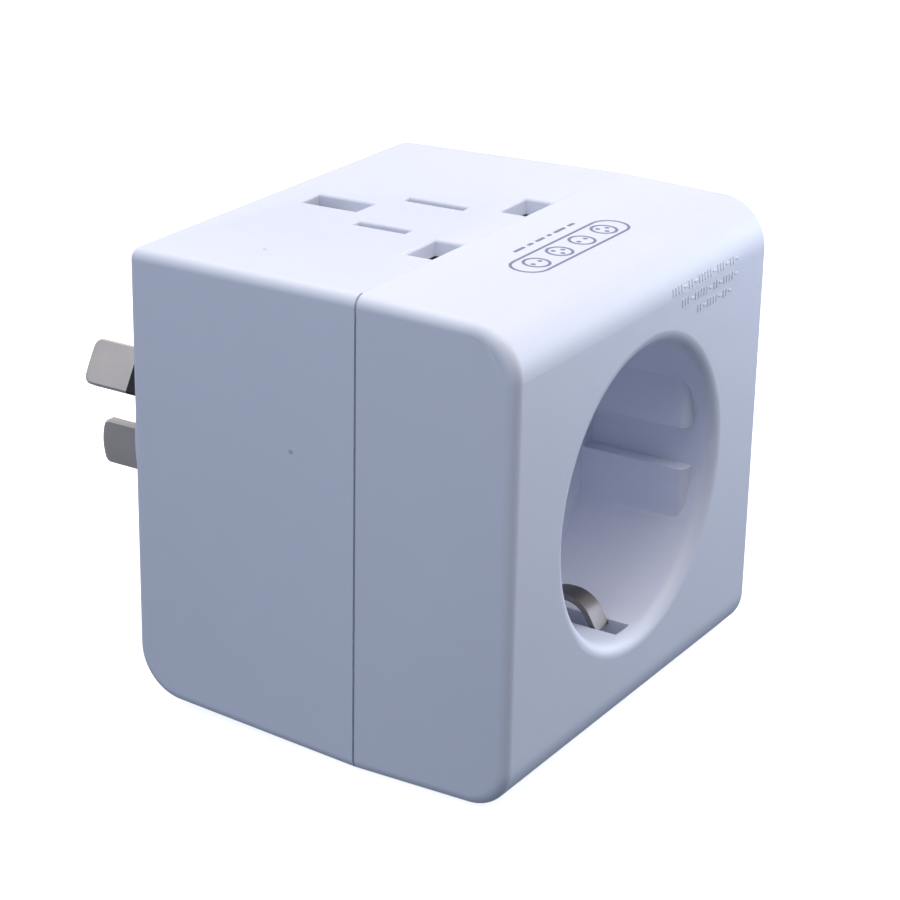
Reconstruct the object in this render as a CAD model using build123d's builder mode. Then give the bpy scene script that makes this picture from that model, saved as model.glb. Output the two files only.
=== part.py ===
from build123d import *
import os
from math import cos, radians, sin

# Cube-shaped travel adapter. The plug blades leave the back face along +Y, the round earthed
# socket opens in the front face towards -Y, the universal socket opens in the top face towards
# +Z. The origin lies in the face of the plug pad, on the axis of the round socket. All sizes
# are in millimetres.

# ------------------------------------------------------------------ housing
housing_depth = 58.0
seam_depth = 35.8  # the two shells meet this far behind the plug pad's face
seam_width, seam_height = 65.6, 62.8
front_width, front_height = 65.2, 62.1
back_width, back_height = 62.6, 61.0
pad_radius, pad_height = 19.0, 0.7  # low round pad that the blades stand in
pad_edge_radius = 0.3
wall = 2.2
top_front_radius, bottom_front_radius = 6.5, 5.5
bottom_back_radius = 6.8
edge_radius = 1.5  # the rims of both sides and the upper back edge
reveal, top_reveal = 0.3, 0.02  # visible gap between the shells, tighter across the top
tongue_length = 1.2
tongue_inset = 1.15
rebate_clearance = 0.05

# ------------------------------------------------------------------ universal socket (top)
socket_x = -0.8  # the whole socket and its insides sit this far off the middle plane
uk_pin_offset = 11.1
uk_pin_slot = (7.2, 4.4)
uk_line_y = -33.6
uk_earth_offset = 22.2
uk_earth_slot = (4.5, 8.9)
us_pin_offset = 6.35
us_line_y = -22.6
us_slot_thickness = 1.8
us_slot_lengths = {-1: 8.0, 1: 9.2}
slot_edge_radius = 0.45

# ------------------------------------------------------------------ round socket (front)
well_radius = 19.5
cup_radius = 21.7
well_depth = 18.3
mouth_radius = 1.9
flat_offset = 16.8
groove_width = 5.9
rib_setback = 2.9
rib_edge_radius = 1.2
clip_slot_width = 3.6
clip_slot_setback = 2.1
clip_slot_floor = 23.3  # the clip channels are this far from the axis at their floor
clip_slot_wall = 1.2
pin_spacing = 19.0
pin_hole_radius = 2.7

# ------------------------------------------------------------------ plug (back)
plug_x, plug_z = -11.0, 4.0
blade_width, blade_thickness = 6.35, 1.6
blade_length, earth_length = 16.7, 20.5
blade_corner_radius, earth_corner_radius = 1.3, 1.0
line_end_bow, earth_end_bow = 0.15, 0.6
blade_bevel = 0.25
sleeve_length = 9.3
blade_lean = 30.0
line_blade_offset = (6.86, 3.96)
earth_blade_drop = 10.31
shoulder_width, shoulder_thickness, shoulder_length = 8.3, 2.9, 1.2  # blade's stop in its block
core_width, core_thickness = 5.4, 0.8  # thinned stem inside a sleeve
tang_width = 3.0  # narrow tail that goes through a bus bar

# ------------------------------------------------------------------ fasteners
housing_screw_places = [(-25.5, 22.0), (25.5, 22.0), (-25.5, -20.5), (25.5, -20.5)]
housing_screw_radius, housing_head_radius, housing_head_height = 1.45, 2.75, 2.0
head_bore_radius, shank_bore_radius = 2.9, 1.6
head_seat_depth, housing_screw_length = 27.0, 18.0
rear_boss_radius, front_boss_radius = 4.2, 3.2
cross_length, cross_width, cross_depth = 3.4, 0.7, 1.2  # recess in a screw head
deck_screw_places = [(-18.6, -12.0), (18.6, -12.0), (-18.6, -29.5), (18.6, -29.5)]
deck_post_radius, deck_post_height, deck_pilot_height = 2.0, 3.4, 2.2
carrier_screw_places = [(-22.6, 0.0), (0.6, -1.0)]
carrier_post_radius, carrier_post_clearance, carrier_head_radius = 1.9, 0.1, 2.4
base_screw_places = [(-17.6, -17.6), (17.6, -17.6)]
base_boss_radius, base_pilot_length, base_screw_length = 2.4, 8.0, 7.5
post_screw_places = [(-15.6, 0.0), (15.6, 0.0)]
small_screw_radius, small_head_radius, small_head_height = 0.9, 1.8, 1.1
pilot_clearance, shank_clearance = 0.05, 0.1

# ------------------------------------------------------------------ inner levels
sheet = 0.8  # bus bar thickness
contact_sheet = 0.5
foot_sheet = 0.6  # foot of a contact, where it is riveted to its bus bar
floor_thickness = 2.2
carrier_depth = (pad_height + wall, 6.2)
line_layer = (-7.0, -6.2)
earth_layer = (-8.6, -7.8)
strip_z = (11.0, 11.8)
earth_strip_z = (6.4, 7.2)
deck_z = (24.8, 26.2)
us_shutter_z = (26.35, 27.25)
uk_shutter_z = (26.4, 28.35)
spine_z = (27.45, 28.35)
uk_travel, us_travel = 5.2, 2.9
shutter_depth = (35.3, 37.3)
pivot_radius, pivot_clearance = 2.0, 0.06
rivet_radius, rivet_head_radius, rivet_head_height = 0.95, 1.6, 0.5
rivet_hole_radius = 1.0
rivet_place = (11.6, -27.0)
earth_rivet_y = -17.6

uk_earth_y = uk_line_y + uk_earth_offset
well_floor = housing_depth - well_depth
base_back = well_floor - floor_thickness
live_blade_place = (plug_x - line_blade_offset[0], plug_z + line_blade_offset[1])
neutral_blade_place = (plug_x + line_blade_offset[0], plug_z + line_blade_offset[1])
earth_blade_place = (plug_x, plug_z - earth_blade_drop)
blades = {
    "live_blade": (live_blade_place, blade_lean),
    "neutral_blade": (neutral_blade_place, -blade_lean),
    "earth_blade": (earth_blade_place, 0.0),
}

os.makedirs("parts", exist_ok=True)


def save(part, label):
    """Label one finished piece and write it."""
    part.label = label
    export_step(part, f"parts/{label}.step")


def save_in_socket(part, label):
    """Write a piece that was drawn about the universal socket's own middle plane."""
    save(part.moved(Location((socket_x, 0, 0))), label)


def from_socket(places):
    """Places drawn about the universal socket's middle plane, in the object's frame."""
    return [(x + socket_x, y) for x, y in places]


def behind(depth):
    """The plane at a depth behind the plug pad's face, facing the front."""
    return Plane.XZ.offset(depth)


def block(x, y, z, mode=Mode.ADD):
    """A box between the given limits, in the part that is being built."""
    with Locations(((x[0] + x[1]) / 2, (y[0] + y[1]) / 2, (z[0] + z[1]) / 2)):
        Box(abs(x[1] - x[0]), abs(y[1] - y[0]), abs(z[1] - z[0]), mode=mode)


def sided(side, low, high):
    """Limits on one side of the middle plane."""
    return (side * low, side * high)


def centred(half):
    """Limits on both sides of the middle plane."""
    return (-half, half)


def discs(places, radius, near, far, mode=Mode.ADD):
    """Round posts or holes along Y between two depths."""
    with BuildSketch(behind(near)) as profile:
        with Locations(*places):
            Circle(radius)
    extrude(profile.sketch, amount=far - near, mode=mode)


def studs(places, radius, low, high, mode=Mode.ADD):
    """Round posts or holes along Z between two heights."""
    with BuildSketch(Plane.XY.offset(low)) as profile:
        with Locations(*places):
            Circle(radius)
    extrude(profile.sketch, amount=high - low, mode=mode)


def blade_slots(names, width, thickness, near, far, mode=Mode.SUBTRACT):
    """Slots along Y that follow the lean of the named blades."""
    with BuildSketch(behind(near)) as profile:
        for name in names:
            place, lean = blades[name]
            with Locations(place):
                Rectangle(thickness, width, rotation=-lean)
    extrude(profile.sketch, amount=far - near, mode=mode)


def socket_slots(middle, growth, low, high):
    """The five pin slots about the socket's middle plane, cut between two heights."""
    with BuildSketch(Plane.XY.offset(low)) as profile:
        with Locations((middle - uk_pin_offset, uk_line_y), (middle + uk_pin_offset, uk_line_y)):
            Rectangle(uk_pin_slot[0] + growth, uk_pin_slot[1] + growth)
        with Locations((middle, uk_earth_y)):
            Rectangle(uk_earth_slot[0] + growth, uk_earth_slot[1] + growth)
        for side, length in us_slot_lengths.items():
            with Locations((middle + side * us_pin_offset, us_line_y)):
                Rectangle(us_slot_thickness + growth, length + growth)
    extrude(profile.sketch, amount=high - low, mode=Mode.SUBTRACT)


def housing_form(inset):
    """The drafted form of the housing with its rounded corners, set in on every side."""
    front, back = inset - housing_depth, -pad_height - inset
    corner_radii = {
        (front, front_height / 2 - inset): top_front_radius,
        (front, inset - front_height / 2): bottom_front_radius,
        (back, inset - back_height / 2): bottom_back_radius,
    }
    with BuildPart() as form:
        with BuildSketch(Plane.YZ) as profile:
            with BuildLine():
                Polyline(
                    (back, back_height / 2 - inset),
                    (-seam_depth, seam_height / 2 - inset),
                    (front, front_height / 2 - inset),
                    (front, inset - front_height / 2),
                    (-seam_depth, inset - seam_height / 2),
                    (back, inset - back_height / 2),
                    close=True,
                )
            make_face()
            for corner, radius in corner_radii.items():
                fillet(profile.vertices().sort_by_distance((*corner, 0))[0], radius - inset)
        extrude(amount=seam_width, both=True)
        with BuildSketch(Plane.XY):
            with BuildLine():
                Polyline(
                    (back_width / 2 - inset, back),
                    (seam_width / 2 - inset, -seam_depth),
                    (front_width / 2 - inset, front),
                    (inset - front_width / 2, front),
                    (inset - seam_width / 2, -seam_depth),
                    (inset - back_width / 2, back),
                    close=True,
                )
            make_face()
        extrude(amount=seam_height, both=True, mode=Mode.INTERSECT)
    return form.part


def wall_band(outer_inset, inner_inset, near, far):
    """A ring of the housing wall between two insets and two depths."""
    with BuildPart() as band:
        add(housing_form(outer_inset))
        add(housing_form(inner_inset), mode=Mode.SUBTRACT)
        split(bisect_by=behind(near), keep=Keep.TOP)
        split(bisect_by=behind(far), keep=Keep.BOTTOM)
    return band.part


def shell_form(depth, keep):
    """One half of the outer form, cut at a depth, with its rims rounded."""
    with BuildPart() as half:
        add(housing_form(0))
        split(bisect_by=behind(depth), keep=keep)
        side_faces = half.faces().filter_by(lambda face: abs(face.normal_at().X) > 0.9)
        rims = side_faces.edges().filter_by(lambda edge: abs(edge.center().Y + depth) > wall)
        if keep == Keep.BOTTOM:
            rims.append(half.edges().filter_by(Axis.X).group_by(Axis.Y)[-1].sort_by(Axis.Z)[-1])
        fillet(rims, edge_radius)
    return half.part


cavity_form = housing_form(wall)
match_tolerance = 0.01

# ------------------------------------------------------------------ front shell
with BuildPart() as top_lip:
    add(housing_form(0))
    block(
        centred(seam_width / 2 - edge_radius),
        (-seam_depth - 2 * reveal, -seam_depth - top_reveal),
        (seam_height / 2 - 1.5 * tongue_inset, seam_height / 2),
        mode=Mode.INTERSECT,
    )

with BuildPart() as front_housing:
    add(shell_form(seam_depth + reveal, Keep.TOP))
    add(cavity_form, mode=Mode.SUBTRACT)
    add(wall_band(tongue_inset, wall, seam_depth - tongue_length, seam_depth + 2 * reveal))
    add(top_lip.part)
    for side in (-1, 1):
        notch = sided(side, uk_pin_offset - uk_pin_slot[0] / 2, uk_pin_offset + uk_pin_slot[0] / 2)
        block(
            (socket_x + notch[0], socket_x + notch[1]),
            (-seam_depth, -seam_depth + 2 * tongue_length),
            (seam_height / 2 - 2 * wall, seam_height / 2),
            mode=Mode.SUBTRACT,
        )
    # cup of the round socket with its two clip channels, and the bosses for the screws
    into_wall = housing_depth - wall / 2
    discs([(0, 0)], cup_radius, well_floor, into_wall)
    for side in (-1, 1):
        block(
            centred(clip_slot_width / 2 + clip_slot_wall),
            (-into_wall, -well_floor),
            sided(side, well_radius, clip_slot_floor + clip_slot_wall),
        )
    discs(housing_screw_places, front_boss_radius, seam_depth + 2 * reveal, into_wall)
    discs(base_screw_places, base_boss_radius, well_floor, into_wall)
    discs([(0, 0)], well_radius, well_floor, housing_depth, mode=Mode.SUBTRACT)
    mouth = front_housing.edges().filter_by(GeomType.CIRCLE).sort_by(Axis.Y)
    mouth = mouth.filter_by(lambda edge: abs(edge.radius - well_radius) < match_tolerance)
    fillet(mouth[0], mouth_radius)
    discs(
        housing_screw_places,
        housing_screw_radius + pilot_clearance,
        seam_depth,
        head_seat_depth + housing_screw_length + 1,
        mode=Mode.SUBTRACT,
    )
    discs(
        base_screw_places,
        small_screw_radius + pilot_clearance,
        well_floor,
        well_floor + base_pilot_length,
        mode=Mode.SUBTRACT,
    )
    # flats with their middle groove on both sides of the well
    with BuildSketch(behind(well_floor)):
        Circle((well_radius + cup_radius) / 2)
        Rectangle(2 * flat_offset, 2 * cup_radius, mode=Mode.SUBTRACT)
        Rectangle(2 * cup_radius, groove_width, mode=Mode.SUBTRACT)
    extrude(amount=well_depth - rib_setback)
    rib_front = rib_setback - housing_depth
    rib_ends = front_housing.edges().filter_by(Axis.Z).filter_by(
        lambda edge: abs(edge.center().Y - rib_front) < match_tolerance
    )
    fillet(
        rib_ends.filter_by(lambda edge: abs(abs(edge.center().X) - flat_offset) < match_tolerance),
        rib_edge_radius,
    )
    # channels for the two arms of the earth clip
    for side in (-1, 1):
        block(
            centred(clip_slot_width / 2),
            (clip_slot_setback - housing_depth, 1 - well_floor),
            sided(side, well_radius - wall, clip_slot_floor),
            mode=Mode.SUBTRACT,
        )

# ------------------------------------------------------------------ rear shell
blade_slot_clearance = 0.2
with BuildPart() as rear_housing:
    add(shell_form(seam_depth, Keep.BOTTOM))
    discs([(plug_x, plug_z)], pad_radius, 0, pad_height + wall / 2)
    pad_rim = rear_housing.edges().filter_by(GeomType.CIRCLE).sort_by(Axis.Y)[-1]
    fillet(pad_rim, pad_edge_radius)
    add(cavity_form, mode=Mode.SUBTRACT)
    rebate = wall_band(
        tongue_inset - rebate_clearance,
        2 * wall,
        seam_depth - tongue_length - 2 * rebate_clearance,
        seam_depth + reveal,
    )
    add(rebate, mode=Mode.SUBTRACT)
    into_wall = pad_height + wall / 2
    deck_screws_in_frame = from_socket(deck_screw_places)
    discs(housing_screw_places, rear_boss_radius, into_wall, seam_depth - reveal)
    discs(carrier_screw_places, carrier_post_radius, into_wall, carrier_depth[1])
    studs(deck_screws_in_frame, deck_post_radius, deck_z[1], deck_z[1] + deck_post_height)
    discs(housing_screw_places, head_bore_radius, 0, head_seat_depth, mode=Mode.SUBTRACT)
    discs(
        housing_screw_places,
        shank_bore_radius,
        head_seat_depth,
        seam_depth,
        mode=Mode.SUBTRACT,
    )
    discs(
        carrier_screw_places,
        small_screw_radius + pilot_clearance,
        into_wall,
        carrier_depth[1],
        mode=Mode.SUBTRACT,
    )
    studs(
        deck_screws_in_frame,
        small_screw_radius + pilot_clearance,
        deck_z[1],
        deck_z[1] + deck_pilot_height,
        mode=Mode.SUBTRACT,
    )
    socket_slots(socket_x, 0, deck_z[1], seam_height / 2 + 1)
    slot_rims = rear_housing.edges().filter_by(
        lambda edge: edge.center().Z > seam_height / 2 - 1
        and abs(edge.center().X) < housing_screw_places[1][0]
        and -seam_depth + reveal < edge.center().Y < -2 * wall
    )
    fillet(slot_rims, slot_edge_radius)
    blade_slots(
        blades,
        blade_width + blade_slot_clearance,
        blade_thickness + blade_slot_clearance,
        0,
        2 * wall,
    )

with BuildPart() as housing_screws:
    screw_tip = head_seat_depth + housing_screw_length
    head_top = head_seat_depth - housing_head_height
    discs(housing_screw_places, housing_screw_radius, head_seat_depth, screw_tip)
    discs(housing_screw_places, housing_head_radius, head_top, head_seat_depth)
    with BuildSketch(behind(head_top)):
        with Locations(*housing_screw_places):
            Rectangle(cross_length, cross_width)
            Rectangle(cross_width, cross_length)
    extrude(amount=cross_depth, mode=Mode.SUBTRACT)

# ------------------------------------------------------------------ plug blades
carrier_x, carrier_z = (-25.0, 3.0), (-11.0, 13.0)
carrier_chamfer = 1.5
seat_clearance = 0.1
with BuildPart() as blade_carrier:
    block(carrier_x, (-carrier_depth[1], -carrier_depth[0]), carrier_z)
    chamfer(blade_carrier.edges().filter_by(Axis.Y), carrier_chamfer)
    discs(
        carrier_screw_places,
        carrier_post_radius + carrier_post_clearance,
        *carrier_depth,
        mode=Mode.SUBTRACT,
    )
    blade_slots(
        blades,
        blade_width + seat_clearance,
        blade_thickness + seat_clearance,
        *carrier_depth,
    )
    blade_slots(
        blades,
        shoulder_width + 2 * seat_clearance,
        shoulder_thickness + 2 * seat_clearance,
        carrier_depth[0],
        carrier_depth[0] + shoulder_length + seat_clearance,
    )

with BuildPart() as blade_carrier_screws:
    screw_start = carrier_depth[0]
    head_seat = carrier_depth[1]
    discs(carrier_screw_places, small_screw_radius, screw_start, head_seat + contact_sheet)
    discs(carrier_screw_places, carrier_head_radius, head_seat, head_seat + small_head_height)


def blade_plane(name):
    """A plane through a blade: X along its length, Y across its width."""
    place, lean = blades[name]
    across = (cos(radians(lean)), 0, -sin(radians(lean)))
    return Plane(origin=(place[0], 0, place[1]), x_dir=(0, 1, 0), z_dir=across)


def blade_bar(name, start, end, width, thickness, mode=Mode.ADD):
    """A flat bar along a blade between two distances from the plug pad's face."""
    with BuildSketch(blade_plane(name)) as profile:
        with Locations(((start + end) / 2, 0)):
            Rectangle(end - start, width)
    extrude(profile.sketch, amount=thickness / 2, both=True, mode=mode)


def bevelled_blade(name, start, end, corner_radius, bow):
    """A blade with a slightly bowed end, rounded corners and bevelled edges."""
    half = blade_width / 2
    with BuildPart() as bar:
        with BuildSketch(blade_plane(name)) as profile:
            with BuildLine():
                Polyline((end - bow, -half), (start, -half), (start, half), (end - bow, half))
                ThreePointArc((end - bow, half), (end, 0), (end - bow, -half))
            make_face()
            fillet(profile.vertices().group_by(Axis.X)[-1], corner_radius)
        extrude(amount=blade_thickness / 2, both=True)
        wide_faces = bar.faces().sort_by(SortBy.AREA)[-2:]
        rims = wide_faces.edges().filter_by(lambda edge: edge.center().Y > start + wall)
        chamfer(rims, blade_bevel)
    return bar.part


line_tang_end, earth_tang_end = line_layer[0] - seat_clearance, earth_layer[0] - seat_clearance
for name in ("live_blade", "neutral_blade"):
    with BuildPart() as blade:
        add(bevelled_blade(name, sleeve_length, blade_length, blade_corner_radius, line_end_bow))
        blade_bar(name, -carrier_depth[0], sleeve_length, core_width, core_thickness)
        blade_bar(name, -carrier_depth[1], -carrier_depth[0], blade_width, blade_thickness)
        blade_bar(
            name,
            -carrier_depth[0] - shoulder_length,
            -carrier_depth[0],
            shoulder_width,
            shoulder_thickness,
        )
        blade_bar(name, line_tang_end, -carrier_depth[1], tang_width, blade_thickness)
    save(blade.part, name)
    with BuildPart() as sleeve:
        blade_bar(name, -carrier_depth[0], sleeve_length, blade_width, blade_thickness)
        fillet(sleeve.edges().filter_by(Axis.Y), blade_bevel)
        blade_bar(
            name,
            -carrier_depth[0],
            sleeve_length,
            core_width + seat_clearance,
            core_thickness + seat_clearance,
            mode=Mode.SUBTRACT,
        )
    save(sleeve.part, f"{name}_sleeve")

with BuildPart() as earth_blade:
    add(
        bevelled_blade(
            "earth_blade",
            -carrier_depth[1],
            earth_length,
            earth_corner_radius,
            earth_end_bow,
        )
    )
    blade_bar(
        "earth_blade",
        -carrier_depth[0] - shoulder_length,
        -carrier_depth[0],
        shoulder_width,
        shoulder_thickness,
    )
    blade_bar("earth_blade", earth_tang_end, -carrier_depth[1], tang_width, blade_thickness)

# ------------------------------------------------------------------ bus bars
tang_slot = (tang_width + seat_clearance, blade_thickness + seat_clearance)
strip_front = -36.0
line_strip_x = (8.5, 14.0)
live_leg_x, live_leg_top = (-20.1, -15.2), 11.2
live_cross_z = (-16.0, -12.4)
live_riser_x = (9.4, 14.0)
neutral_plate_x, neutral_plate_foot = (-14.0, -2.3), 5.0
with BuildPart() as live_bus_bar:
    block(live_leg_x, line_layer, (live_cross_z[0], live_leg_top))
    block((live_leg_x[0], live_riser_x[1]), line_layer, live_cross_z)
    block(live_riser_x, line_layer, (live_cross_z[0], strip_z[1]))
    block(line_strip_x, (strip_front, line_layer[1]), strip_z)
    blade_slots(["live_blade"], *tang_slot, -line_layer[1], -line_layer[0])
    studs([rivet_place], rivet_hole_radius, *strip_z, mode=Mode.SUBTRACT)

neutral_rivet_place = (-rivet_place[0], rivet_place[1])
with BuildPart() as neutral_bus_bar:
    block(neutral_plate_x, line_layer, (neutral_plate_foot, strip_z[1]))
    block(sided(-1, *line_strip_x), (strip_front, line_layer[1]), strip_z)
    blade_slots(["neutral_blade"], *tang_slot, -line_layer[1], -line_layer[0])
    studs([neutral_rivet_place], rivet_hole_radius, *strip_z, mode=Mode.SUBTRACT)

clip_bar = (-34.6, -33.8)
clip_tab = (clip_bar[1], clip_bar[1] + sheet)
clip_tab_top = 11.6
clip_rivet_z = 9.2
earth_half_width = 3.0
earth_foot_x, earth_foot_z = (-13.4, 3.0), (-8.8, -3.8)
with BuildPart() as earth_bus_bar:
    block(earth_foot_x, earth_layer, earth_foot_z)
    block(centred(earth_half_width), earth_layer, (earth_foot_z[0], earth_strip_z[1]))
    block(centred(earth_half_width), (clip_bar[1], earth_layer[1]), earth_strip_z)
    block(centred(earth_half_width), clip_tab, (earth_strip_z[0], clip_tab_top))
    blade_slots(["earth_blade"], *tang_slot, -earth_layer[1], -earth_layer[0])
    studs(
        from_socket([(0, earth_rivet_y)]),
        rivet_hole_radius,
        *earth_strip_z,
        mode=Mode.SUBTRACT,
    )
    discs([(0, clip_rivet_z)], rivet_hole_radius, -clip_tab[1], -clip_tab[0], mode=Mode.SUBTRACT)

# ------------------------------------------------------------------ universal socket contacts
# Drawn about the socket's own middle plane, as are the carrier, deck and shutters below.
leaf_top, earth_leaf_top = 21.5, 17.0
uk_gap, us_gap = 4.1, 1.9
uk_leaf_x = (8.4, 13.8)
us_leaf_half_length = 2.9
us_foot_outer = 9.0
base_z = (strip_z[1], strip_z[1] + foot_sheet)
uk_leaves = [
    (uk_line_y + uk_gap / 2, uk_line_y + uk_gap / 2 + contact_sheet),
    (uk_line_y - uk_gap / 2 - contact_sheet, uk_line_y - uk_gap / 2),
]
us_leaves = [
    (us_pin_offset - us_gap / 2 - contact_sheet, us_pin_offset - us_gap / 2),
    (us_pin_offset + us_gap / 2, us_pin_offset + us_gap / 2 + contact_sheet),
]
us_span = (us_line_y - us_leaf_half_length, us_line_y + us_leaf_half_length)
for name, side in (("universal_live_contact", 1), ("universal_neutral_contact", -1)):
    with BuildPart() as contact:
        block(sided(side, *uk_leaf_x), (uk_leaves[1][0], us_span[1]), base_z)
        block(sided(side, us_leaves[0][0], us_foot_outer), us_span, base_z)
        for leaf in uk_leaves:
            block(sided(side, *uk_leaf_x), leaf, (base_z[0], leaf_top))
        for leaf in us_leaves:
            block(sided(side, *leaf), us_span, (base_z[0], leaf_top))
        rivets = [(side * rivet_place[0] - socket_x, rivet_place[1])]
        studs(rivets, rivet_hole_radius, *base_z, mode=Mode.SUBTRACT)
    save_in_socket(contact.part, name)

earth_base_z = (earth_strip_z[1], earth_strip_z[1] + foot_sheet)
earth_foot_half_width, earth_foot_back = 2.65, -19.4
earth_leaf_half_length = 3.2
with BuildPart() as universal_earth_contact:
    block(
        centred(earth_foot_half_width),
        (earth_foot_back, uk_earth_y + earth_leaf_half_length),
        earth_base_z,
    )
    for side in (-1, 1):
        block(
            sided(side, uk_gap / 2, uk_gap / 2 + contact_sheet),
            (uk_earth_y - earth_leaf_half_length, uk_earth_y + earth_leaf_half_length),
            (earth_base_z[0], earth_leaf_top),
        )
    studs([(0, earth_rivet_y)], rivet_hole_radius, *earth_base_z, mode=Mode.SUBTRACT)

frame_half_width, frame_y, frame_foot = 16.4, (-37.2, -4.5), 13.2
ear_radius, ear_z = 1.9, (23.0, deck_z[0])
pocket_z = (frame_foot - 0.2, deck_z[0] + 0.2)
pockets = [
    ((7.4, 14.8), (-36.5, -30.7)),  # line pins
    ((4.3, 8.4), (-27.7, -17.5)),  # flat blades
]
earth_pocket = (centred(3.4), (-16.3, -6.6))
clip_relief = (centred(2.6), (-37.3, -33.0))
with BuildPart() as universal_contact_carrier:
    block(centred(frame_half_width), frame_y, (frame_foot, deck_z[0]))
    studs(deck_screw_places, ear_radius, *ear_z)
    for x, y in deck_screw_places:
        inner = frame_half_width - 1 if x > 0 else 1 - frame_half_width
        block((inner, x), (y - ear_radius, y + ear_radius), ear_z)
    for side in (-1, 1):
        for x_span, y_span in pockets:
            block(sided(side, *x_span), y_span, pocket_z, mode=Mode.SUBTRACT)
    for x_span, y_span in (earth_pocket, clip_relief):
        block(x_span, y_span, pocket_z, mode=Mode.SUBTRACT)
    studs(deck_screw_places, small_screw_radius + shank_clearance, *ear_z, mode=Mode.SUBTRACT)

# ------------------------------------------------------------------ shutters of the universal socket
uk_spring_radius, us_spring_radius = 0.95, 0.85
wire_radius = 0.15
us_plate_x, us_plate_y = 12.5, (-28.3, -16.8)
uk_plate_x, uk_plate_y = 15.6, (-36.3, -30.9)
uk_spring_end, us_spring_end = -46.4, -19.7
spring_z = 27.35
slide_clearance = 0.2
deck_top = deck_z[1]
stop_wall = 0.8  # thickness of the small walls that stop the springs
rail_top, guide_top, stop_top = 27.2, 27.4, 28.3
deck_plates = [
    (20.8, (-34.0, -5.0)),
    (16.9, (-42.0, -34.0)),
    (3.6, (-47.3, -42.0)),
]
uk_stop_half_width, us_stop_y = 3.0, (-24.4, -20.8)
end_stop_y = (-25.0, -20.2)
rail_half_length = 16.0
guide_x, guide_lip_x = (15.9, 16.5), (13.0, 16.0)
guide_lip_y = (-30.7, -29.9)
guide_overrun = 0.3
deck_slot_growth = 0.4
with BuildPart() as shutter_deck:
    for half_width, y_span in deck_plates:
        block(centred(half_width), y_span, deck_z)
    uk_stop_y = (uk_spring_end - 0.1 - stop_wall, uk_spring_end - 0.1)
    us_stop_x = (us_spring_end - 0.1 - stop_wall, us_spring_end - 0.1)
    end_stop_x = (us_plate_x + slide_clearance, us_plate_x + slide_clearance + 1)
    block(centred(uk_stop_half_width), uk_stop_y, (deck_top, stop_top))
    block(us_stop_x, us_stop_y, (deck_top, stop_top))
    block(end_stop_x, end_stop_y, (deck_top, rail_top))
    rails = (
        (us_plate_y[0] - slide_clearance - stop_wall, us_plate_y[0] - slide_clearance),
        (us_plate_y[1] + slide_clearance, us_plate_y[1] + slide_clearance + stop_wall),
    )
    for rail in rails:
        block(centred(rail_half_length), rail, (deck_top, rail_top))
    guide_y = (uk_plate_y[0] - uk_travel - guide_overrun, guide_lip_y[1] - slide_clearance / 2)
    for side in (-1, 1):
        block(sided(side, *guide_x), guide_y, (deck_top, guide_top))
        block(sided(side, *guide_lip_x), guide_lip_y, (deck_top, guide_top))
    socket_slots(0, deck_slot_growth, *deck_z)
    studs(deck_screw_places, small_screw_radius + shank_clearance, *deck_z, mode=Mode.SUBTRACT)

deck_screw_tip = 28.1
with BuildPart() as deck_screws:
    studs(deck_screw_places, small_screw_radius, ear_z[0], deck_screw_tip)
    studs(deck_screw_places, small_head_radius, ear_z[0] - small_head_height, ear_z[0])

ramp_rise, ramp_run = 0.7, 3.0
ramp_end = uk_earth_y + ramp_rise
spine_half_width = 2.7
peg_radius, peg_length = 0.6, 1.2
with BuildPart() as uk_shutter:
    block(centred(uk_plate_x), uk_plate_y, uk_shutter_z)
    block(centred(spine_half_width), (uk_plate_y[1] - 1, ramp_end), spine_z)
    ramp_edge = uk_shutter.edges().filter_by(Axis.X).group_by(Axis.Z)[-1].sort_by(Axis.Y)[-1]
    ramp_face = uk_shutter.faces().sort_by(Axis.Y)[-1]
    chamfer(ramp_edge, length=ramp_rise, length2=ramp_run, reference=ramp_face)
    discs([(0, spring_z)], peg_radius, -uk_plate_y[0], peg_length - uk_plate_y[0])

spring_tab_y, spring_tab_top, spring_tab_thickness = (-24.2, -21.0), 28.2, 1.2
us_window_growth = 0.3
with BuildPart() as us_shutter:
    block(centred(us_plate_x), us_plate_y, us_shutter_z)
    with BuildSketch(Plane.XY.offset(us_shutter_z[0])):
        for side in (-1, 1):
            with Locations((side * us_pin_offset + us_travel, us_line_y)):
                Rectangle(
                    us_slot_thickness + us_window_growth,
                    us_slot_lengths[1] + us_window_growth,
                )
    extrude(amount=us_shutter_z[1] - us_shutter_z[0], mode=Mode.SUBTRACT)
    spring_tab_x = (-us_plate_x, spring_tab_thickness - us_plate_x)
    block(spring_tab_x, spring_tab_y, (us_shutter_z[0], spring_tab_top))


def coil_spring(start, direction, radius, length, turns):
    """An open coil of round wire from a start point along its axis."""
    with BuildPart() as spring:
        with BuildLine():
            coil = Helix(length / turns, length, radius, center=start, direction=direction)
        with BuildSketch(Plane(origin=coil @ 0, z_dir=coil % 0)):
            Circle(wire_radius)
        sweep(path=coil)
    return spring.part


spring_air = 0.1
uk_turns, us_turns = 9, 7
uk_spring_start = uk_plate_y[0] - spring_air - wire_radius
uk_shutter_spring = coil_spring(
    (0, uk_spring_start, spring_z),
    (0, -1, 0),
    uk_spring_radius,
    uk_spring_start - uk_spring_end - wire_radius,
    uk_turns,
)
us_spring_start = -us_plate_x - spring_air - wire_radius
us_shutter_spring = coil_spring(
    (us_spring_start, us_line_y, spring_z),
    (-1, 0, 0),
    us_spring_radius,
    us_spring_start - us_spring_end - wire_radius,
    us_turns,
)

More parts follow.
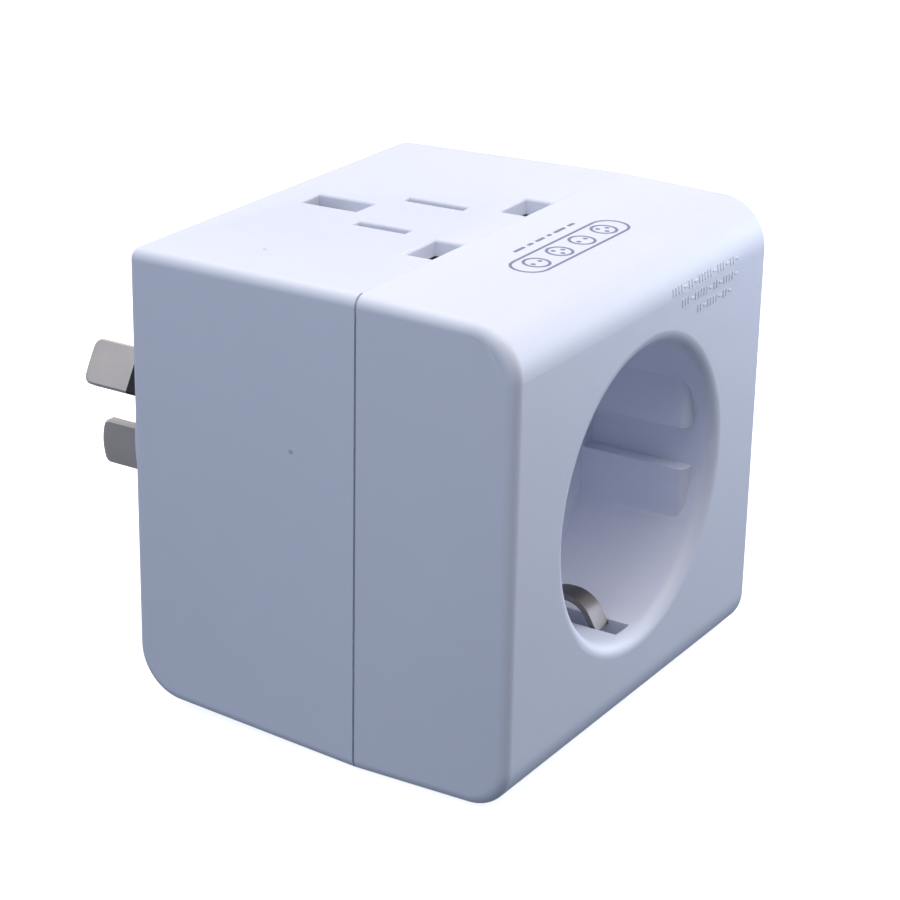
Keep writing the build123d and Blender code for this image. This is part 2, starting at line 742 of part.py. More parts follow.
# ------------------------------------------------------------------ round socket, inner pieces
pin_places = [(-pin_spacing / 2, 0), (pin_spacing / 2, 0)]
post_radius, post_pilot_length = 2.2, 3.4
post_air = 0.1
carrier_front, carrier_back = 34.9, 19.5
lug_radius, lug_size, lug_reach = 2.8, (6.0, 5.6), 0.85
with BuildPart() as schuko_base:
    with BuildSketch(behind(base_back)):
        Circle(cup_radius)
        with Locations(*base_screw_places):
            Circle(lug_radius)
        for x, z in base_screw_places:
            with Locations((x * lug_reach, z * lug_reach)):
                Rectangle(*lug_size, rotation=45 if x * z > 0 else -45)
    extrude(amount=floor_thickness)
    discs([(0, 0)], pivot_radius, carrier_front + 2 * post_air, base_back + post_air)
    discs(post_screw_places, post_radius, carrier_front, base_back + post_air)
    discs(pin_places, pin_hole_radius, base_back, well_floor, mode=Mode.SUBTRACT)
    discs(
        base_screw_places,
        small_screw_radius + shank_clearance,
        base_back,
        well_floor,
        mode=Mode.SUBTRACT,
    )
    discs(
        post_screw_places,
        small_screw_radius + pilot_clearance,
        carrier_front,
        carrier_front + post_pilot_length,
        mode=Mode.SUBTRACT,
    )

with BuildPart() as schuko_base_screws:
    discs(base_screw_places, small_screw_radius, base_back, well_floor + base_screw_length)
    discs(base_screw_places, small_head_radius, base_back - small_head_height, base_back)

lobe_radius, hub_radius, lobe_half_angle = 12.7, 5.0, 20.0
spring_groove = (2.7, 3.8)
groove_depth = 1.1
torsion_radius = 3.25
leg_length, leg_slot = 3.0, 0.8
with BuildPart() as schuko_shutter:
    edge_x = 2 * lobe_radius * cos(radians(lobe_half_angle))
    edge_z = 2 * lobe_radius * sin(radians(lobe_half_angle))
    with BuildSketch(behind(shutter_depth[0])):
        Circle(lobe_radius)
        for side in (-1, 1):
            with BuildLine():
                Polyline(
                    (0, 0),
                    (edge_x, side * edge_z),
                    (edge_x, side * 2 * lobe_radius),
                    (-edge_x, side * 2 * lobe_radius),
                    (-edge_x, side * edge_z),
                    close=True,
                )
            make_face(mode=Mode.SUBTRACT)
        Circle(hub_radius)
        Circle(pivot_radius + pivot_clearance, mode=Mode.SUBTRACT)
    extrude(amount=shutter_depth[1] - shutter_depth[0])
    with BuildSketch(behind(shutter_depth[0])):
        Circle(spring_groove[1])
        Circle(spring_groove[0], mode=Mode.SUBTRACT)
    extrude(amount=groove_depth, mode=Mode.SUBTRACT)
    block(
        (0, torsion_radius + leg_length),
        (-shutter_depth[0] - groove_depth, -shutter_depth[0]),
        (-torsion_radius - leg_slot / 2, -torsion_radius + leg_slot / 2),
        mode=Mode.SUBTRACT,
    )

spring_turns = 2
coil_depth = (shutter_depth[0] - 0.2, shutter_depth[0] + 0.8)
with BuildPart() as schuko_shutter_spring:
    with BuildLine() as torsion_path:
        coil = Helix(
            (coil_depth[1] - coil_depth[0]) / spring_turns,
            coil_depth[1] - coil_depth[0],
            torsion_radius,
            center=(0, -coil_depth[0], 0),
            direction=(0, -1, 0),
        )
        Line(coil @ 0 - (coil % 0) * leg_length, coil @ 0)
        Line(coil @ 1, coil @ 1 + (coil % 1) * leg_length)
    torsion_wire = torsion_path.wires()[0]
    with BuildSketch(Plane(origin=torsion_wire @ 0, z_dir=torsion_wire % 0)):
        Circle(wire_radius)
    sweep(path=torsion_wire)

body_half_width, body_half_height, body_chamfer = 13.2, 6.0, 1.0
ear_half_width, ear_half_height, ear_thickness = 17.8, 2.8, 2.0
sleeve_bore_radius, sleeve_bore_floor = 3.1, 0.7
tab_slot = ((9.0, 10.0), (-29.2, -24.8), (2.0, 6.1))
bar_slot_half_width, bar_slot_back = 2.3, -33.6
with BuildPart() as schuko_contact_carrier:
    block(centred(body_half_width), (-carrier_front, -carrier_back), centred(body_half_height))
    chamfer(schuko_contact_carrier.edges().filter_by(Axis.Y), body_chamfer)
    block(
        centred(ear_half_width),
        (-carrier_front, ear_thickness - carrier_front),
        centred(ear_half_height),
    )
    discs(
        pin_places,
        sleeve_bore_radius,
        carrier_back + sleeve_bore_floor,
        carrier_front,
        mode=Mode.SUBTRACT,
    )
    for side in (-1, 1):
        block(sided(side, *tab_slot[0]), tab_slot[1], tab_slot[2], mode=Mode.SUBTRACT)
    block(
        centred(bar_slot_half_width),
        (-carrier_front, bar_slot_back),
        centred(body_half_height + 0.1),
        mode=Mode.SUBTRACT,
    )
    discs(
        post_screw_places,
        small_screw_radius + shank_clearance,
        carrier_front - ear_thickness,
        carrier_front,
        mode=Mode.SUBTRACT,
    )

post_screw_reach = 3.2
with BuildPart() as schuko_carrier_screws:
    head_seat = carrier_front - ear_thickness
    discs(post_screw_places, small_screw_radius, head_seat, carrier_front + post_screw_reach)
    discs(post_screw_places, small_head_radius, head_seat - small_head_height, head_seat)

contact_radius, contact_back, contact_length = 2.45, 20.5, 13.0
contact_gap = (0.9, 2.0)
contact_tab_x, contact_tab_y = (9.2, 9.8), (-29.0, -25.0)
tab_z = (10.4, strip_z[0])
for name, side in (("schuko_live_contact", 1), ("schuko_neutral_contact", -1)):
    with BuildPart() as contact:
        with BuildSketch(behind(contact_back)):
            with Locations((side * pin_spacing / 2, 0)):
                Circle(contact_radius + contact_sheet)
                Circle(contact_radius, mode=Mode.SUBTRACT)
            with Locations((side * pin_spacing / 2, -contact_radius)):
                Rectangle(*contact_gap, mode=Mode.SUBTRACT)
        extrude(amount=contact_length)
        block(sided(side, *contact_tab_x), contact_tab_y, (contact_radius + 0.1, tab_z[1]))
        block(sided(side, contact_tab_x[0], line_strip_x[1]), contact_tab_y, tab_z)
        rivets = [(side * rivet_place[0], rivet_place[1])]
        studs(rivets, rivet_hole_radius, *tab_z, mode=Mode.SUBTRACT)
    save(contact.part, name)

arm_z, arch_z, clip_end_z = 22.6, 16.2, 20.1
clip_width = 3.2
arm_turn_y, clip_end_y = -40.6, -52.65
arch_y = (-45.4, -50.4)
clip_bends = [1.5, 2.2, 4.2, 4.0]
bar_y = (clip_bar[0] + clip_bar[1]) / 2
with BuildPart() as schuko_earth_clip:
    half = [
        (bar_y, arm_z),
        (arm_turn_y, arm_z),
        (arch_y[0], arch_z),
        (arch_y[1], arch_z),
        (clip_end_y, clip_end_z),
    ]
    lower = [(y, -z) for y, z in reversed(half)]
    with BuildLine(Plane.YZ) as clip_path:
        FilletPolyline(*lower, *half, radius=[*reversed(clip_bends), *clip_bends])
    clip_wire = clip_path.wires()[0]
    with BuildSketch(Plane(origin=clip_wire @ 0, x_dir=(1, 0, 0), z_dir=clip_wire % 0)):
        Rectangle(clip_width, sheet)
    sweep(path=clip_wire)
    discs([(0, clip_rivet_z)], rivet_hole_radius, -clip_bar[1], -clip_bar[0], mode=Mode.SUBTRACT)

with BuildPart() as bus_rivets:
    stacks = [
        ([rivet_place, neutral_rivet_place], tab_z[0], base_z[1]),
        (from_socket([(0, earth_rivet_y)]), earth_strip_z[0], earth_base_z[1]),
    ]
    for places, low, high in stacks:
        studs(places, rivet_radius, low, high)
        studs(places, rivet_head_radius, low - rivet_head_height, low)
        studs(places, rivet_head_radius, high, high + rivet_head_height)
    near, far = -clip_tab[1], -clip_bar[0]
    discs([(0, clip_rivet_z)], rivet_radius, near, far)
    discs([(0, clip_rivet_z)], rivet_head_radius, near - rivet_head_height, near)
    discs([(0, clip_rivet_z)], rivet_head_radius, far, far + rivet_head_height)

# ------------------------------------------------------------------ output
save(front_housing.part, "front_housing")
save(rear_housing.part, "rear_housing")
save(housing_screws.part, "housing_screws")
save(blade_carrier.part, "blade_carrier")
save(blade_carrier_screws.part, "blade_carrier_screws")
save(earth_blade.part, "earth_blade")
save(live_bus_bar.part, "live_bus_bar")
save(neutral_bus_bar.part, "neutral_bus_bar")
save(earth_bus_bar.part, "earth_bus_bar")
save_in_socket(universal_earth_contact.part, "universal_earth_contact")
save_in_socket(universal_contact_carrier.part, "universal_contact_carrier")
save_in_socket(shutter_deck.part, "shutter_deck")
save_in_socket(deck_screws.part, "deck_screws")
save_in_socket(uk_shutter.part, "uk_shutter")
save_in_socket(us_shutter.part, "us_shutter")
save_in_socket(uk_shutter_spring, "uk_shutter_spring")
save_in_socket(us_shutter_spring, "us_shutter_spring")
save(schuko_base.part, "schuko_base")
save(schuko_base_screws.part, "schuko_base_screws")
save(schuko_shutter.part, "schuko_shutter")
save(schuko_shutter_spring.part, "schuko_shutter_spring")
save(schuko_contact_carrier.part, "schuko_contact_carrier")
save(schuko_carrier_screws.part, "schuko_carrier_screws")
save(schuko_earth_clip.part, "schuko_earth_clip")
save(bus_rivets.part, "bus_rivets")
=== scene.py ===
import math

import bmesh
import bpy
from mathutils import Matrix, Vector
from mathutils.bvhtree import BVHTree


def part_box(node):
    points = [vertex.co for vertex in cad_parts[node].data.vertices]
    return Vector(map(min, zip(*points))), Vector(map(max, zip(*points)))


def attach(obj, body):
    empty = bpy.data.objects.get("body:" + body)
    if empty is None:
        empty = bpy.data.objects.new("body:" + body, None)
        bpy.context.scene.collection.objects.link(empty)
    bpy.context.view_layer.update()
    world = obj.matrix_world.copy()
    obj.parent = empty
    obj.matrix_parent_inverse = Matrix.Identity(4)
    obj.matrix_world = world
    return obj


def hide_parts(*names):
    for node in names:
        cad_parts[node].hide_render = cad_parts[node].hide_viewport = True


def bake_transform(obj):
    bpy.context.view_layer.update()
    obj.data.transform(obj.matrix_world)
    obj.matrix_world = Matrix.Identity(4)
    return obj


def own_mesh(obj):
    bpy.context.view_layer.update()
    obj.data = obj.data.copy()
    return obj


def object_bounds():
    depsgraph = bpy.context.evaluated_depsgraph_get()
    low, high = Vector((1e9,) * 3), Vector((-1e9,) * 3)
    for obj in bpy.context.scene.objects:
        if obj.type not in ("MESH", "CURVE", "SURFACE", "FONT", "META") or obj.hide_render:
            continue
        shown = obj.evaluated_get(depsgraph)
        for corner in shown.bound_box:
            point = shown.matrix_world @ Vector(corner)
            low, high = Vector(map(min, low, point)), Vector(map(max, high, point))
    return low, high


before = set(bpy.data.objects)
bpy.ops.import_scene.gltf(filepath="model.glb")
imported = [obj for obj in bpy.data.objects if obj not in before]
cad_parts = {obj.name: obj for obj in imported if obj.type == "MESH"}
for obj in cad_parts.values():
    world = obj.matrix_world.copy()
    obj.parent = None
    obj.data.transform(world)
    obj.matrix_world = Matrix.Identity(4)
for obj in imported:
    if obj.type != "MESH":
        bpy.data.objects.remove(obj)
cad_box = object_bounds()

MM = 0.001

# the photograph's view: degrees, and metres from the middle of the housing
VIEW_AZIMUTH, VIEW_ELEVATION, VIEW_ROLL = 58.14, 21.88, 1.11
VIEW_DISTANCE, VIEW_DROP = 350.65 * MM, 0.38 * MM
FOCAL_LENGTH, SENSOR_WIDTH, NEAR_CLIP = 106.1, 36.0, 0.01

# lamps: name, place from the middle of the housing, side length, power, colour
LAMPS = (
    ("softbox", (0.04, -0.075, 0.33), 0.45, 1.38, (0.99, 0.945, 0.885)),
    ("side_fill", (-0.45, 0.12, 0.30), 0.6, 1.12, (0.75, 0.86, 1.0)),
    ("right_fill", (0.50, -0.27, 0.02), 0.4, 2.9, (0.72, 0.83, 1.0)),
    ("back_fill", (0.15, 0.60, 0.22), 0.6, 1.8, (0.92, 0.95, 1.0)),
)
ROOM_COLOUR, ROOM_STRENGTH = (0.66, 0.77, 1.0), 0.20

# noise scale along each axis: a small one draws the noise out into lines
ALONG_Y, ALONG_Z, ALONG_X = (1.0, 0.03, 1.0), (1.0, 1.0, 0.03), (0.03, 1.0, 1.0)


# ---------------------------------------------------------------- camera and light
def housing_centre():
    """The middle of the two shells, without the blades."""
    low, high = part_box("front_housing")
    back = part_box("rear_housing")[1]
    return Vector(((low.x + high.x) / 2, (low.y + back.y) / 2, (low.z + high.z) / 2))


def add_camera(centre):
    """The photograph's view: down on the left side, the front and the top."""
    azimuth, elevation = math.radians(VIEW_AZIMUTH), math.radians(VIEW_ELEVATION)
    roll = math.radians(VIEW_ROLL)
    forward = Vector(
        (
            math.sin(azimuth) * math.cos(elevation),
            math.cos(azimuth) * math.cos(elevation),
            -math.sin(elevation),
        )
    )
    level = forward.cross(Vector((0, 0, 1))).normalized()
    over = level.cross(forward)
    right = level * math.cos(roll) + over * math.sin(roll)
    place = centre - forward * VIEW_DISTANCE
    aimed = (forward * VIEW_DISTANCE - over * VIEW_DROP).normalized()
    up = right.cross(aimed).normalized()
    right = aimed.cross(up)
    camera = bpy.data.cameras.new("camera")
    camera.lens = FOCAL_LENGTH
    camera.sensor_width = SENSOR_WIDTH
    camera.clip_start = NEAR_CLIP
    holder = bpy.data.objects.new("camera", camera)
    holder.matrix_world = Matrix(
        (
            (right.x, up.x, -aimed.x, place.x),
            (right.y, up.y, -aimed.y, place.y),
            (right.z, up.z, -aimed.z, place.z),
            (0, 0, 0, 1),
        )
    )
    bpy.context.scene.collection.objects.link(holder)
    bpy.context.scene.camera = holder


def add_area_light(name, place, target, size, power, colour):
    lamp = bpy.data.lights.new(name, "AREA")
    lamp.shape = "SQUARE"
    lamp.size = size
    lamp.energy = power
    lamp.color = colour
    holder = bpy.data.objects.new(name, lamp)
    holder.location = place
    holder.rotation_euler = (target - place).to_track_quat("-Z", "Y").to_euler()
    bpy.context.scene.collection.objects.link(holder)


def add_lights(centre):
    """A softbox overhead and three wide fills, in an evenly lit pale room."""
    for name, offset, size, power, colour in LAMPS:
        add_area_light(name, centre + Vector(offset), centre, size, power, colour)
    world = bpy.data.worlds.new("studio")
    world.use_nodes = True
    background = world.node_tree.nodes["Background"]
    background.inputs["Color"].default_value = (*ROOM_COLOUR, 1.0)
    background.inputs["Strength"].default_value = ROOM_STRENGTH
    bpy.context.scene.world = world
    bpy.context.scene.view_settings.view_transform = "Standard"


# ---------------------------------------------------------------- materials
class Surface:
    """A Principled material whose colour, roughness and bump come from procedural nodes."""

    def __init__(self, name, colour, roughness, metallic=0.0):
        self.material = bpy.data.materials.new(name)
        self.material.use_nodes = True
        self.tree = self.material.node_tree
        self.shader = self.tree.nodes["Principled BSDF"]
        self.shader.inputs["Base Color"].default_value = (*colour, 1.0)
        self.shader.inputs["Roughness"].default_value = roughness
        self.shader.inputs["Metallic"].default_value = metallic
        self.colour = colour
        self.roughness = roughness
        self.coordinates = self.node("ShaderNodeTexCoord").outputs["Object"]

    def node(self, kind, **settings):
        made = self.tree.nodes.new(kind)
        for key, value in settings.items():
            setattr(made, key, value)
        return made

    def link(self, source, target):
        self.tree.links.new(source, target)

    def noise(self, scale, detail, stretch=(1.0, 1.0, 1.0)):
        """Noise over the row frame's metres, stretched along its axes."""
        mapping = self.node("ShaderNodeMapping")
        mapping.inputs["Scale"].default_value = stretch
        self.link(self.coordinates, mapping.inputs["Vector"])
        texture = self.node("ShaderNodeTexNoise")
        texture.inputs["Scale"].default_value = scale
        texture.inputs["Detail"].default_value = detail
        self.link(mapping.outputs["Vector"], texture.inputs["Vector"])
        return texture.outputs["Fac"]

    def remap(self, value, low, high):
        """A 0 to 1 value spread between two levels."""
        scale = self.node("ShaderNodeMapRange")
        scale.inputs["To Min"].default_value = low
        scale.inputs["To Max"].default_value = high
        self.link(value, scale.inputs["Value"])
        return scale.outputs["Result"]

    def vary_roughness(self, value, spread):
        low, high = self.roughness - spread, self.roughness + spread
        self.link(self.remap(value, low, high), self.shader.inputs["Roughness"])

    def vary_colour(self, value, dark, light):
        """The base colour multiplied between two levels; returns the result's socket."""
        mix = self.node("ShaderNodeMix", data_type="RGBA")
        mix.inputs["A"].default_value = (*[c * dark for c in self.colour], 1.0)
        mix.inputs["B"].default_value = (*[min(1.0, c * light) for c in self.colour], 1.0)
        self.link(value, mix.inputs["Factor"])
        self.link(mix.outputs["Result"], self.shader.inputs["Base Color"])
        return mix.outputs["Result"]

    def bump(self, *layers):
        """Stacks (height value, depth in metres, strength) layers of relief."""
        normal = None
        for value, depth, strength in layers:
            relief = self.node("ShaderNodeBump")
            relief.inputs["Distance"].default_value = depth
            relief.inputs["Strength"].default_value = strength
            self.link(value, relief.inputs["Height"])
            if normal:
                self.link(normal, relief.inputs["Normal"])
            normal = relief.outputs["Normal"]
        self.link(normal, self.shader.inputs["Normal"])

    def worn_edges(self, colour_socket, tint, start, end):
        """Lightens the colour where the surface turns sharply outwards."""
        pointiness = self.node("ShaderNodeNewGeometry").outputs["Pointiness"]
        edge = self.node("ShaderNodeMapRange")
        edge.inputs["From Min"].default_value = start
        edge.inputs["From Max"].default_value = end
        self.link(pointiness, edge.inputs["Value"])
        mix = self.node("ShaderNodeMix", data_type="RGBA")
        mix.inputs["B"].default_value = (*tint, 1.0)
        self.link(edge.outputs["Result"], mix.inputs["Factor"])
        self.link(colour_socket, mix.inputs["A"])
        self.link(mix.outputs["Result"], self.shader.inputs["Base Color"])


def moulded_plastic(name, colour, roughness, relief=2.0e-6, glow=0.0):
    """Injection-moulded plastic: fine spark-eroded grain, slow waviness, faint clouding."""
    grain_scale, wave_scale, cloud_scale, sheen_scale = 9000.0, 60.0, 140.0, 400.0
    wave_depth, wave_strength, grain_strength = 4.0e-5, 0.25, 0.6
    edge_start, edge_end, edge_gain = 0.52, 0.6, 1.05
    cloud_dark, cloud_light, sheen_spread = 0.975, 1.015, 0.05
    refraction, glow_radius, glow_depth = 1.5, (1.0, 0.95, 0.9), 0.8 * MM
    surface = Surface(name, colour, roughness)
    fine = surface.noise(grain_scale, detail=2.0)
    slow = surface.noise(wave_scale, detail=2.0)
    clouds = surface.noise(cloud_scale, detail=4.0)
    tinted = surface.vary_colour(clouds, cloud_dark, cloud_light)
    edge_tint = [min(1.0, c * edge_gain) for c in colour]
    surface.worn_edges(tinted, edge_tint, edge_start, edge_end)
    surface.vary_roughness(surface.noise(sheen_scale, detail=5.0), sheen_spread)
    surface.bump((slow, wave_depth, wave_strength), (fine, relief, grain_strength))
    surface.shader.inputs["IOR"].default_value = refraction
    if glow:
        surface.shader.inputs["Subsurface Weight"].default_value = glow
        surface.shader.inputs["Subsurface Radius"].default_value = glow_radius
        surface.shader.inputs["Subsurface Scale"].default_value = glow_depth
    return surface.material


def drawn_metal(name, colour, roughness, stretch):
    """Rolled or drawn metal with fine lines, slight tarnish and bright edges."""
    line_scale, cloud_scale = 9000.0, 260.0
    line_depth, line_strength = 3.0e-6, 0.5
    cloud_depth, cloud_strength = 8.0e-6, 0.2
    edge_start, edge_end, edge_gain = 0.53, 0.62, 1.2
    tarnish, shine, line_spread = 0.82, 1.08, 0.08
    surface = Surface(name, colour, roughness, metallic=1.0)
    lines = surface.noise(line_scale, detail=2.0, stretch=stretch)
    clouds = surface.noise(cloud_scale, detail=5.0)
    tinted = surface.vary_colour(clouds, tarnish, shine)
    edge_tint = [min(1.0, c * edge_gain) for c in colour]
    surface.worn_edges(tinted, edge_tint, edge_start, edge_end)
    surface.vary_roughness(lines, line_spread)
    surface.bump((lines, line_depth, line_strength), (clouds, cloud_depth, cloud_strength))
    return surface.material


def paint(nodes, material):
    """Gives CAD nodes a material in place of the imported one."""
    for name in nodes:
        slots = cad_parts[name].data.materials
        slots.clear()
        slots.append(material)


def paint_cad():
    """Paints every CAD node but the springs, and returns the shells' material."""
    shell = moulded_plastic("shell_white", (0.78, 0.795, 0.90), 0.45, glow=0.08)
    paint(["front_housing", "rear_housing", "schuko_base"], shell)
    shutter = moulded_plastic("shutter_grey", (0.60, 0.62, 0.67), 0.42)
    paint(["uk_shutter", "us_shutter", "schuko_shutter", "shutter_deck"], shutter)
    inner = moulded_plastic("carrier_ivory", (0.62, 0.62, 0.58), 0.5)
    paint(["blade_carrier", "universal_contact_carrier", "schuko_contact_carrier"], inner)
    sleeve = moulded_plastic("sleeve_black", (0.006, 0.006, 0.008), 0.6, relief=4.0e-6)
    paint(["live_blade_sleeve", "neutral_blade_sleeve"], sleeve)
    contacts = [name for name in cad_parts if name.endswith("_contact")]
    screws = [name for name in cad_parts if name.endswith("_screws")]
    strips = ["live_bus_bar", "neutral_bus_bar", "earth_bus_bar", "bus_rivets"]
    blades = ["live_blade", "neutral_blade", "earth_blade"]
    metals = (  # name, colour, roughness, direction of the lines, nodes
        ("blade_nickel", (0.69, 0.63, 0.59), 0.7, ALONG_Y, blades),
        # painted shade: the earth clip's colour is darkened far below bright nickel, so the clip
        # deep in the well reflects little of the lamps
        ("clip_nickel_painted_shade", (0.175, 0.155, 0.145), 0.42, ALONG_Y, ["schuko_earth_clip"]),
        ("brass_strip", (0.80, 0.60, 0.28), 0.35, ALONG_Y, strips),
        ("bronze_spring", (0.72, 0.45, 0.26), 0.3, ALONG_Z, contacts),
        ("screw_zinc", (0.55, 0.56, 0.58), 0.35, ALONG_Y, screws),
    )
    for name, colour, roughness, stretch, nodes in metals:
        paint(nodes, drawn_metal(name, colour, roughness, stretch))
    return shell


# ---------------------------------------------------------------- springs
def loose_copy(node, material):
    """A copy of a CAD spring, standing for the stiff one, which is hidden."""
    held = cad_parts[node]
    piece = bpy.data.objects.new(f"{node}_coil", held.data.copy())
    piece.matrix_world = held.matrix_world.copy()
    piece.data.materials.clear()
    piece.data.materials.append(material)
    bpy.context.scene.collection.objects.link(piece)
    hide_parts(node)
    return piece


def add_springs(wire):
    """Wire copies of the slide springs ride with the shells, and a wire copy of the torsion
    spring stands in its place.
    """
    bpy.context.view_layer.update()
    slides = (
        ("uk_shutter_spring", "uk_shutter_slide", Vector((0, 1, 0))),
        ("us_shutter_spring", "us_shutter_slide", Vector((1, 0, 0))),
    )
    for node, joint, axis in slides:
        coil = loose_copy(node, wire)
        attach(coil, "root")
        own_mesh(coil)
    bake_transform(loose_copy("schuko_shutter_spring", wire))


# ---------------------------------------------------------------- details on the shells
def surface_of(node):
    """A CAD node's surface in the row frame, for laying details on."""
    bpy.context.view_layer.update()
    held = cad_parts[node]
    points = [held.matrix_world @ vertex.co for vertex in held.data.vertices]
    faces = [list(polygon.vertices) for polygon in held.data.polygons]
    return BVHTree.FromPolygons(points, faces)


def dropper(node, spot, toward):
    """A function that drops drawing coordinates on to a node's surface and lifts them off it."""
    surface = surface_of(node)
    aim = Vector(toward)
    start_height = 40  # mm, well clear of the surface

    def drop(u, v, lift):
        hit, normal = surface.ray_cast(spot(u, v) - aim * start_height * MM, aim)[:2]
        if normal.dot(aim) > 0:
            normal = -normal
        return hit + normal * lift

    return drop


def bar(u, v, length, width, steps=5, upright=False):
    """A bar with round ends about (u, v): a function of how much it is grown by."""

    def loop(grow):
        radius = width / 2 + grow
        half = (length - width) / 2
        points = []
        for side, start in ((1, -90.0), (-1, 90.0)):
            for step in range(steps + 1):
                angle = math.radians(start + 180.0 * step / steps)
                along = side * half + radius * math.cos(angle)
                over = radius * math.sin(angle)
                points.append((u - over, v + along) if upright else (u + along, v + over))
        return points

    return loop


def disc(u, v, radius, steps=24):
    """A circle about (u, v): a function of how much it is grown by."""

    def loop(grow):
        angles = [2.0 * math.pi * step / steps for step in range(steps)]
        reach = radius + grow
        return [(u + reach * math.cos(angle), v + reach * math.sin(angle)) for angle in angles]

    return loop


def build_up(mesh, drop, shape, levels, capped=True):
    """Rings of a shape at each (grow, lift), joined by walls and closed by a top face."""
    rings = [[mesh.verts.new(drop(u, v, lift)) for u, v in shape(grow)] for grow, lift in levels]
    for low, high in zip(rings, rings[1:]):
        for i in range(len(low)):
            j = (i + 1) % len(low)
            mesh.faces.new((low[i], low[j], high[j], high[i]))
    if capped:
        mesh.faces.new(rings[-1])


def add_piece(name, mesh, material):
    """Turns a mesh into a named piece that rides with the shells."""
    bmesh.ops.recalc_face_normals(mesh, faces=mesh.faces)
    data = bpy.data.meshes.new(name)
    mesh.to_mesh(data)
    mesh.free()
    data.materials.append(material)
    piece = bpy.data.objects.new(name, data)
    bpy.context.scene.collection.objects.link(piece)
    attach(piece, "root")


def add_printed_mark(ink):
    """A plain capsule with socket pictograms and a row of dashes, printed on the top."""
    low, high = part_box("front_housing")
    drop = dropper("front_housing", lambda u, v: Vector((u, v, high.z)), (0, 0, -1))
    middle, across = -0.6 * MM, low.y + 11.5 * MM
    length, width, stroke, film, sink = 25.2 * MM, 5.3 * MM, 0.4 * MM, 0.015 * MM, 0.03 * MM
    ring_radius, pin_reach, pin_radius = 1.85 * MM, 0.8 * MM, 0.33 * MM
    pictograms = ((-8.4, 2), (-2.8, 3), (2.8, 2), (8.4, 3))  # place along the capsule, pins
    dash_start, dash_row, dash_width, dash_gap = 6.6 * MM, 4.3 * MM, 0.5 * MM, 0.7
    dash_lengths = (2.6, 1.3, 2.1, 1.0, 2.8, 1.6)  # mm, as are the gaps and the places
    line = [(0.0, -sink), (0.0, film), (-stroke, film), (-stroke, -sink)]
    solid = [(0.0, -sink), (0.0, film)]
    mesh = bmesh.new()
    build_up(mesh, drop, bar(middle, across, length, width, steps=10), line, capped=False)
    for place, pins in pictograms:
        u = middle + place * MM
        build_up(mesh, drop, disc(u, across, ring_radius), line, capped=False)
        for pin in range(pins):
            angle = 2.0 * math.pi * pin / pins
            spot = (u + pin_reach * math.cos(angle), across + pin_reach * math.sin(angle))
            build_up(mesh, drop, disc(*spot, pin_radius, steps=12), solid)
    u = middle - dash_start
    for dash in dash_lengths:
        shape = bar(u + dash / 2 * MM, across + dash_row, dash * MM, dash_width)
        build_up(mesh, drop, shape, solid)
        u += (dash + dash_gap) * MM
    add_piece("printed_pictograms", mesh, ink)


def add_raised_bars(plastic):
    """Three rows of small raised bars, moulded in the front's upper right corner."""
    low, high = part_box("front_housing")
    drop = dropper("front_housing", lambda u, v: Vector((u, low.y, v)), (0, 1, 0))
    tall, wide, proud, pitch = 1.15 * MM, 0.34 * MM, 0.07 * MM, 0.78 * MM
    sink, bevel, lying_shift, lying_share, group_gap = 0.05 * MM, 0.09 * MM, 0.25 * MM, 0.75, 1.6
    levels = [(0.0, -sink), (0.0, 0.5 * proud), (-bevel, proud)]
    rows = (  # start and distance below the top in mm, bars in each group
        (5.6, 5.9, (5, 3, 6, 4, 3)),
        (8.2, 7.9, (4, 6, 3, 5)),
        (12.6, 9.8, (3, 5, 3)),
    )
    mesh = bmesh.new()
    for start, below, groups in rows:
        u, v = start * MM, high.z - below * MM
        for group in groups:
            for _ in range(group - 1):
                build_up(mesh, drop, bar(u, v, tall, wide, upright=True), levels)
                u += pitch
            build_up(mesh, drop, bar(u + lying_shift, v, tall * lying_share, wide), levels)
            u += group_gap * pitch
    add_piece("raised_bars", mesh, plastic)


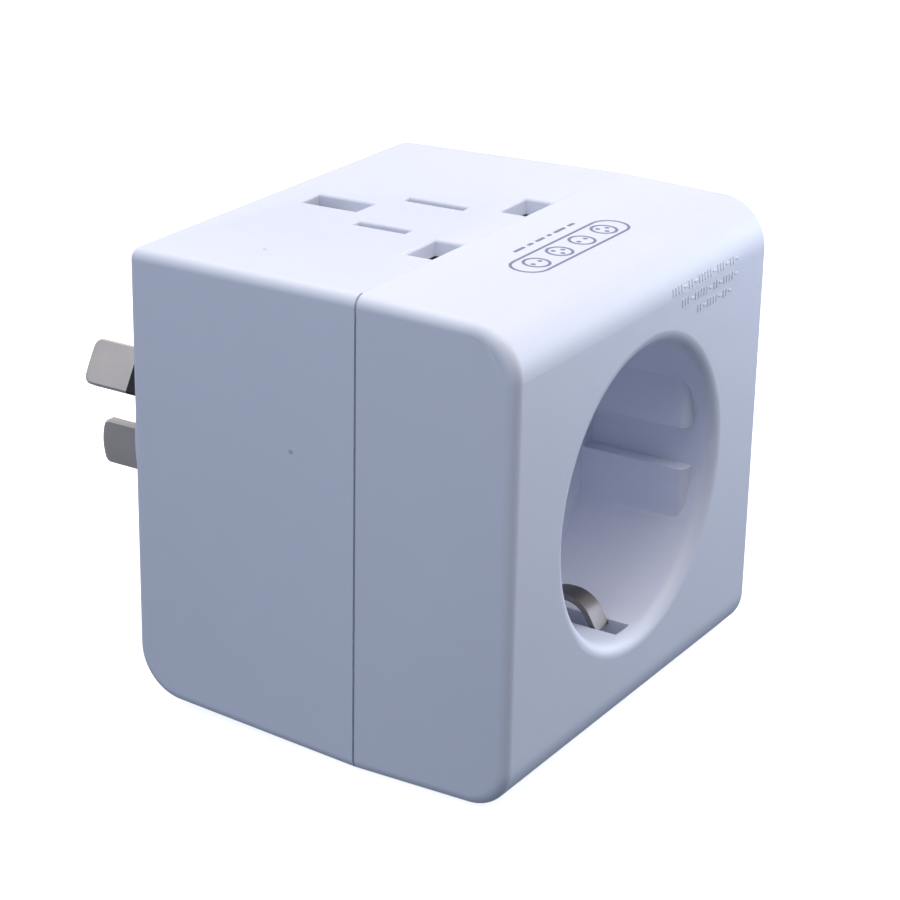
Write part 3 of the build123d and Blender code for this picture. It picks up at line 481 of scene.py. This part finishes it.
def add_gate_marks(plastic):
    """The small round marks that moulding leaves on the left side and the top; their grey colour
    is painted shade of small dimples.
    """
    low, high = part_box("rear_housing")
    lip, bead = 0.03 * MM, 0.05 * MM
    side_back, side_down, side_radius = 26.3 * MM, 21.9 * MM, 0.32 * MM
    top_in, top_front, top_radius = 9.8 * MM, 15.8 * MM, 0.25 * MM
    mesh = bmesh.new()
    side = dropper("rear_housing", lambda u, v: Vector((low.x, -u, v)), (1, 0, 0))
    top = dropper("rear_housing", lambda u, v: Vector((u, v, high.z)), (0, 0, -1))
    places = (  # surface, place on it, radius
        (side, high.y + side_back, high.z - side_down, side_radius),
        (top, low.x + top_in, high.y - top_front, top_radius),
    )
    for drop, u, v, radius in places:
        levels = [(0.0, -lip), (0.0, 0.5 * lip), (-0.3 * radius, lip), (-0.6 * radius, bead)]
        build_up(mesh, drop, disc(u, v, radius, steps=16), levels)
    add_piece("gate_marks", mesh, plastic)


# ---------------------------------------------------------------- floor
def add_floor():
    """A wide pale floor just under the housing.

    It gives off some light of its own and is hidden from diffuse and glossy rays, so it
    shows as near white and neither lights the object nor is mirrored in it.
    """
    half_width, segments, own_light = 3.0, 8, 0.75
    mesh = bmesh.new()
    bmesh.ops.create_grid(mesh, x_segments=segments, y_segments=segments, size=half_width)
    data = bpy.data.meshes.new("floor")
    mesh.to_mesh(data)
    mesh.free()
    floor = bpy.data.objects.new("floor", data)
    floor.location = (0, 0, cad_box[0][2])
    bpy.context.scene.collection.objects.link(floor)
    surface = Surface("floor_pale", (0.9, 0.9, 0.91), 0.6)
    surface.vary_colour(surface.noise(8.0, detail=2.0), 0.99, 1.01)
    surface.shader.inputs["Emission Color"].default_value = (1.0, 1.0, 1.0, 1.0)
    surface.shader.inputs["Emission Strength"].default_value = own_light
    data.materials.append(surface.material)
    floor.visible_diffuse = False
    floor.visible_glossy = False


centre = housing_centre()
add_camera(centre)
add_lights(centre)
shell_material = paint_cad()
add_springs(drawn_metal("spring_wire", (0.45, 0.46, 0.48), 0.3, ALONG_X))
add_printed_mark(moulded_plastic("print_ink", (0.24, 0.24, 0.36), 0.5))
add_raised_bars(shell_material)
# painted shade: the gate marks' grey stands for the shade in small dimples
add_gate_marks(moulded_plastic("gate_dimple_shade", (0.55, 0.57, 0.68), 0.5))
add_floor()
